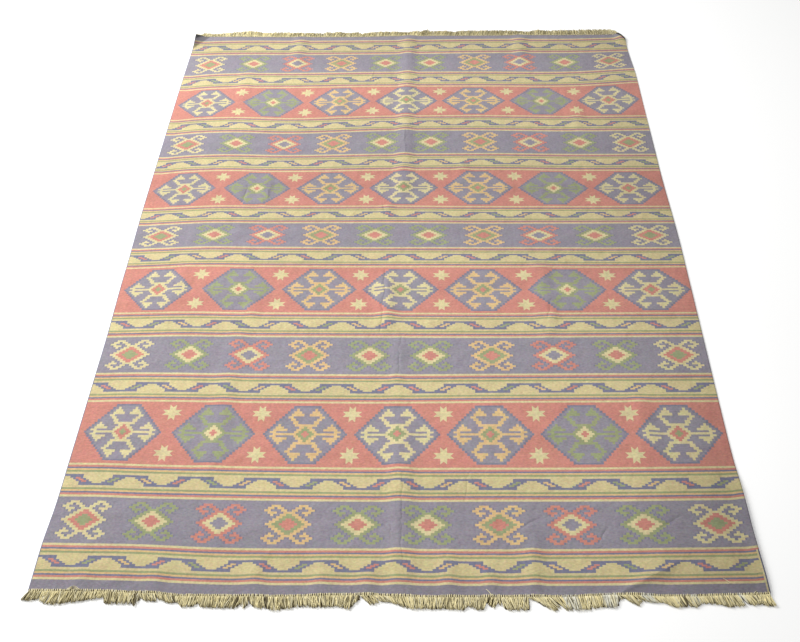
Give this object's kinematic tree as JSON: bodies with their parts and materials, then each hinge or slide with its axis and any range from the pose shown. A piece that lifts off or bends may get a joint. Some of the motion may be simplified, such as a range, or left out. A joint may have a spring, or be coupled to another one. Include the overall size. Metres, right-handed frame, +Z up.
{
  "type": "kilim rug",
  "caption": "Flat-woven rectangular rug lying open on a floor, with striped and geometric motif bands across it and a short warp fringe at each end.",
  "frame": {"origin": "centre of the rug's outline, fringes included, on the floor it lies on", "axes": "+X across the rug to the right selvedge, +Y along the rug to the far end, +Z up from the floor"},
  "size_m": [1.8528, 2.871, 0.0155],
  "materials": {
    "woven_wool": "matt flat-woven wool in violet, coral, cream, orange and green yarns",
    "fringe_yarn": "matt undyed plied warp yarn"
  },
  "bodies": {
    "root": {"kilim_field": "woven_wool", "fringe_near": "fringe_yarn", "fringe_far": "fringe_yarn"}
  },
  "joints": []
}
